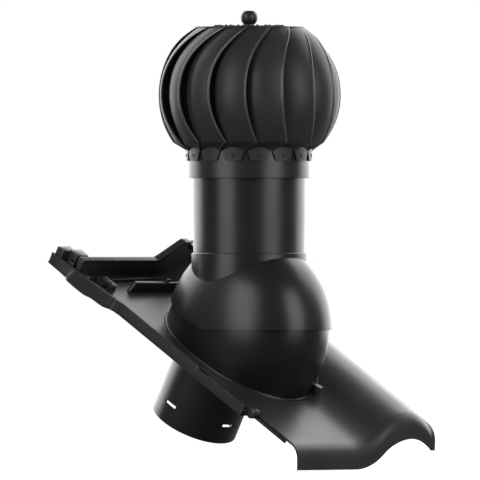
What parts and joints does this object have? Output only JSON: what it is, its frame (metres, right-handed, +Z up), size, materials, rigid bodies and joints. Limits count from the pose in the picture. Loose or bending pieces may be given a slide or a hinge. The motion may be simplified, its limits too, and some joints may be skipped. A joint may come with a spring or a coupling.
{
  "type": "roof turbine ventilator",
  "caption": "Wind-driven roof vent on an interlocking tile: spherical louvred rotor, round tube, tilting dome hood and a duct spigot below.",
  "frame": {"origin": "centre of the duct spigot's mouth, below the roof", "axes": "+Z up along the upright tube, +Y up the slope of the roof, +X across the roof; the roof plane is pitched 30 degrees about X"},
  "size_m": [0.316, 0.4689, 0.648],
  "materials": {
    "base_tile": "satin black",
    "levelling_dome": "satin black",
    "spigot_plate": "satin black",
    "hood": "satin black",
    "vent_tube": "satin black",
    "seals": "matt black rubber",
    "rotor_sheet": "black powder coat",
    "rotor_rivets": "black lacquer",
    "knob": "smooth black",
    "bridge_metal": "black powder coat",
    "zinc_steel": "zinc plated",
    "bearing_steel": "ground steel"
  },
  "bodies": {
    "roof_base": {"base_tile": "base_tile", "levelling_dome": "levelling_dome", "spigot_plate": "spigot_plate", "spigot_gasket": "seals", "spigot_screws": "zinc_steel", "dome_seal": "seals"},
    "stack": {"hood": "hood", "vent_tube": "vent_tube", "collar_seal": "seals", "bearing_bridge": "bridge_metal", "bridge_rivets": "zinc_steel", "bearing_housing": "bridge_metal", "housing_screws": "zinc_steel", "housing_nuts": "zinc_steel", "bearing_circlips": "bearing_steel", "bearing_balls": "bearing_steel", "lower_bearing_outer_race": "bearing_steel", "upper_bearing_outer_race": "bearing_steel"},
    "rotor": {"rotor_shaft": "zinc_steel", "shaft_circlip": "bearing_steel", "lower_bearing_inner_race": "bearing_steel", "upper_bearing_inner_race": "bearing_steel", "skirt_ring": "rotor_sheet", "tab_rivets": "rotor_rivets", "crown_plate": "rotor_sheet", "cap_disc": "rotor_sheet", "crown_rivets": "rotor_rivets", "hub": "rotor_sheet", "hub_rivets": "rotor_rivets", "ball_knob": "knob", "blade_01": "rotor_sheet", "blade_02": "rotor_sheet", "blade_03": "rotor_sheet", "blade_04": "rotor_sheet", "blade_05": "rotor_sheet", "blade_06": "rotor_sheet", "blade_07": "rotor_sheet", "blade_08": "rotor_sheet", "blade_09": "rotor_sheet", "blade_10": "rotor_sheet", "blade_11": "rotor_sheet", "blade_12": "rotor_sheet", "blade_13": "rotor_sheet", "blade_14": "rotor_sheet", "blade_15": "rotor_sheet"}
  },
  "joints": [
    {"name": "hood_tilt", "type": "hinge", "parent": "roof_base", "child": "stack", "pos_m": [0, -0.11127, 0.13202], "axis": [1, 0, 0], "range_deg": [-2, 15]},
    {"name": "rotor_spin", "type": "hinge", "parent": "stack", "child": "rotor", "pos_m": [0, -0.11127, 0.46482], "axis": [0, 0, 1], "continuous": true}
  ]
}
